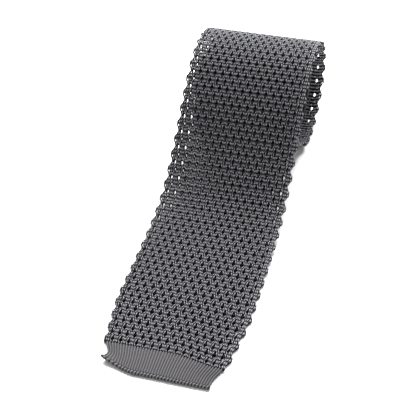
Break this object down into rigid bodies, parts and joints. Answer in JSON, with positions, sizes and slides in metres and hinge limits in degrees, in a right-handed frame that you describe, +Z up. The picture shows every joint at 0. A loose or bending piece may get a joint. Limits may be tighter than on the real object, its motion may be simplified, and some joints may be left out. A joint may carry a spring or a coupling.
{
  "type": "silk knit necktie",
  "caption": "Square-ended silk mesh-knit necktie, rolled up from its narrow end with the wide end led off the roll and laid flat.",
  "frame": {"origin": "on the plane the tie rests on, under the middle of its footprint", "axes": "+X across the tie's width and along the roll's axis, +Y from the square end towards the roll, +Z up"},
  "size_m": [0.065, 0.2428, 0.0613],
  "materials": {
    "mesh_knit": "charcoal plied silk, open mesh knit, slight sheen",
    "rib_knit": "charcoal plied silk, fine close rib knit",
    "bound_edge": "charcoal silk, rolled bound-off edge",
    "seam_thread": "twisted sewing silk",
    "satin_ribbon": "plain satin ribbon, blank",
    "woven_tape": "plain woven cotton tape"
  },
  "bodies": {
    "roll": {"blade_outer_turn": "mesh_knit", "blade_outer_turn_seam": "seam_thread", "keeper_loop": "satin_ribbon", "keeper_tack_left": "seam_thread", "keeper_tack_right": "seam_thread", "blade_neck_join": "seam_thread", "neck_band": "rib_knit", "neck_stay_tape": "woven_tape", "neck_tail_join": "seam_thread", "tail": "mesh_knit", "tail_seam": "seam_thread", "tail_end_band": "rib_knit", "tail_end_band_seam": "seam_thread", "tail_bound_off_edge": "bound_edge"},
    "ramp": {"blade_ramp": "mesh_knit", "blade_ramp_seam": "seam_thread"},
    "flat": {"blade_flat": "mesh_knit", "blade_flat_seam": "seam_thread"},
    "band": {"end_band": "rib_knit", "end_band_seam": "seam_thread", "bound_off_edge": "bound_edge"}
  },
  "joints": [
    {"name": "blade_lift", "type": "hinge", "parent": "roll", "child": "ramp", "pos_m": [0, 0.06732, 0.05757], "axis": [-1, 0, 0], "range_deg": [0, 35]},
    {"name": "blade_fold", "type": "hinge", "parent": "ramp", "child": "flat", "pos_m": [0, -0.01298, 0.00476], "axis": [-1, 0, 0], "range_deg": [0, 60]},
    {"name": "band_curl", "type": "hinge", "parent": "flat", "child": "band", "pos_m": [0, -0.10524, 0.0022], "axis": [-1, 0, 0], "range_deg": [0, 75]}
  ]
}
